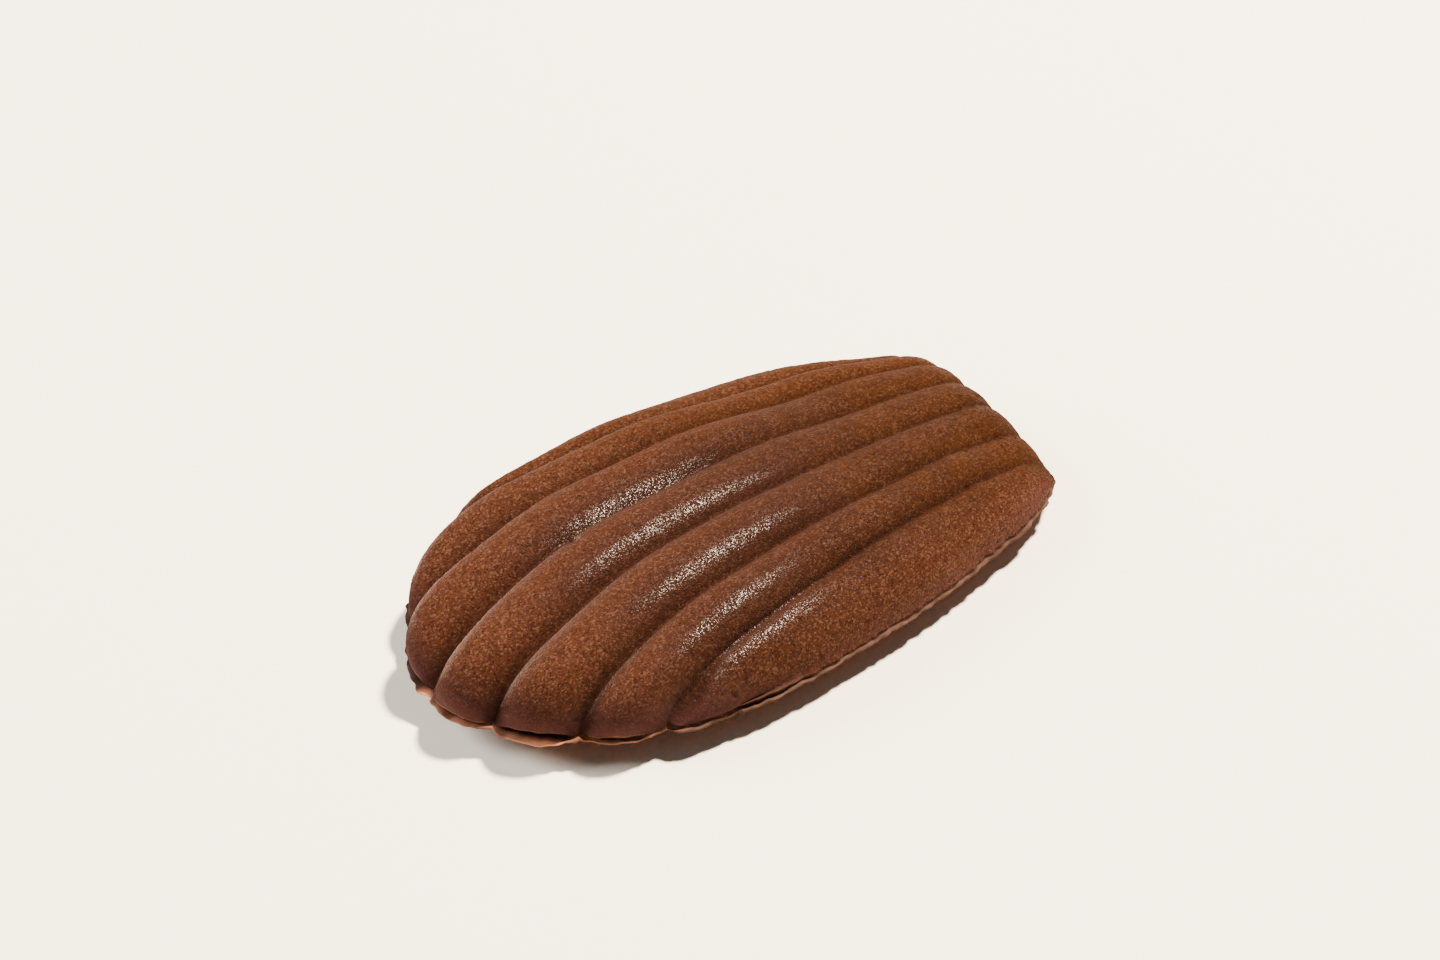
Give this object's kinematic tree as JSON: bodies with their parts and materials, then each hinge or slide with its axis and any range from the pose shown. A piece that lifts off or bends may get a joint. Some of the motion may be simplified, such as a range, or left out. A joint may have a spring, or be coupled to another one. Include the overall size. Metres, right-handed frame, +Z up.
{
  "type": "madeleine cake",
  "caption": "Small shell-shaped chocolate sponge cake, ribbed side up, with a thin baked lip round its rim and a low crown underneath.",
  "frame": {"origin": "under the middle of the cake's bounding box, on the surface that the cake rests on", "axes": "+X along the cake towards its narrow end, +Y to its far side, +Z up, ribbed side up"},
  "size_m": [0.0808, 0.047, 0.0137],
  "materials": {
    "chocolate_crumb": "matt, finely pitted chocolate sponge crust with a faint buttery gloss on the rib crests"
  },
  "bodies": {
    "root": {"madeleine_cake": "chocolate_crumb"}
  },
  "joints": []
}
